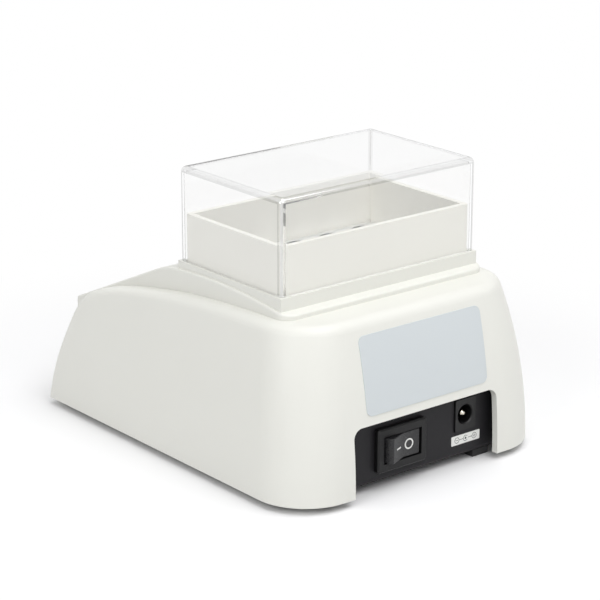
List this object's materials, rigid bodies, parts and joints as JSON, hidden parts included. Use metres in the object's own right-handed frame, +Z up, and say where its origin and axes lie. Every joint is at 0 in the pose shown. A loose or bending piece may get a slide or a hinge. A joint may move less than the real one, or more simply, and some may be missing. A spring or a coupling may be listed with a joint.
{
  "type": "dry block heater",
  "caption": "Compact dry block heater with a sloped control panel, a lift-off clear lid over a heated block with tube wells, and a rear rocker switch and low-voltage inlet.",
  "frame": {"origin": "floor level under the middle of the housing's bottom edge", "axes": "+Z up, +Y towards the rear panel with the switch and the inlet, -Y towards the control panel"},
  "size_m": [0.1102, 0.1402, 0.098],
  "materials": {
    "housing_white": "moulded ABS, fine satin texture",
    "collar_white": "moulded heat-resistant plastic, satin",
    "clear_acrylic": "clear moulded plastic, polished",
    "bare_aluminium": "machined",
    "film_amber": "polyimide film",
    "foam_grey": "silicone foam",
    "zinc_steel": "zinc plated",
    "cutout_steel": "pressed",
    "brass_turned": "turned or stamped",
    "tray_black": "black powder coat, fine texture",
    "foot_rubber": "moulded",
    "switch_black": "moulded nylon",
    "rocker_black": "moulded nylon, semi-gloss",
    "jack_black": "moulded",
    "plated_pin": "nickel plated",
    "board_green": "solder mask",
    "window_smoke": "smoked, polished",
    "display_black": "potted digits",
    "key_grey": "moulded, satin"
  },
  "bodies": {
    "base": {"upper_housing": "housing_white", "well_collar": "collar_white", "heating_plate": "bare_aluminium", "film_heater": "film_amber", "insulation_pad": "foam_grey", "temperature_probe": "zinc_steel", "thermal_cutout": "cutout_steel", "plate_pillars": "brass_turned", "plate_screws": "zinc_steel", "pillar_screws": "zinc_steel", "base_tray": "tray_black", "rubber_feet": "foot_rubber", "tray_screws": "zinc_steel", "switch_body": "switch_black", "switch_terminals": "brass_turned", "dc_jack_body": "jack_black", "dc_jack_pin": "plated_pin", "dc_jack_tabs": "brass_turned", "inlet_board": "board_green", "inlet_pillars": "brass_turned", "inlet_screws": "zinc_steel", "control_board": "board_green", "board_screws": "zinc_steel", "display_window": "window_smoke", "display_module": "display_black", "push_switches": "switch_black"},
    "lid": {"clear_lid": "clear_acrylic"},
    "block": {"heat_block": "bare_aluminium"},
    "rocker": {"switch_rocker": "rocker_black"},
    "key_set": {"key_set": "key_grey"},
    "key_down": {"key_down": "key_grey"},
    "key_up": {"key_up": "key_grey"},
    "key_start": {"key_start": "key_grey"}
  },
  "joints": [
    {"name": "lid_lift", "type": "slide", "parent": "base", "child": "lid", "axis": [0, 0, 1], "range_m": [0, 0.06]},
    {"name": "block_lift", "type": "slide", "parent": "base", "child": "block", "axis": [0, 0, 1], "range_m": [0, 0.028]},
    {"name": "rocker_tilt", "type": "hinge", "parent": "base", "child": "rocker", "pos_m": [0.008, 0.06395, 0.014], "axis": [0, 0, 1], "range_deg": [-22, 0]},
    {"name": "key_set_press", "type": "slide", "parent": "base", "child": "key_set", "axis": [0, 0.4099, -0.9121], "range_m": [0, 0.0008], "stiffness_N_per_m": 1500},
    {"name": "key_down_press", "type": "slide", "parent": "base", "child": "key_down", "axis": [0, 0.4099, -0.9121], "range_m": [0, 0.0008], "stiffness_N_per_m": 1500},
    {"name": "key_up_press", "type": "slide", "parent": "base", "child": "key_up", "axis": [0, 0.4099, -0.9121], "range_m": [0, 0.0008], "stiffness_N_per_m": 1500},
    {"name": "key_start_press", "type": "slide", "parent": "base", "child": "key_start", "axis": [0, 0.4099, -0.9121], "range_m": [0, 0.0008], "stiffness_N_per_m": 1500}
  ]
}
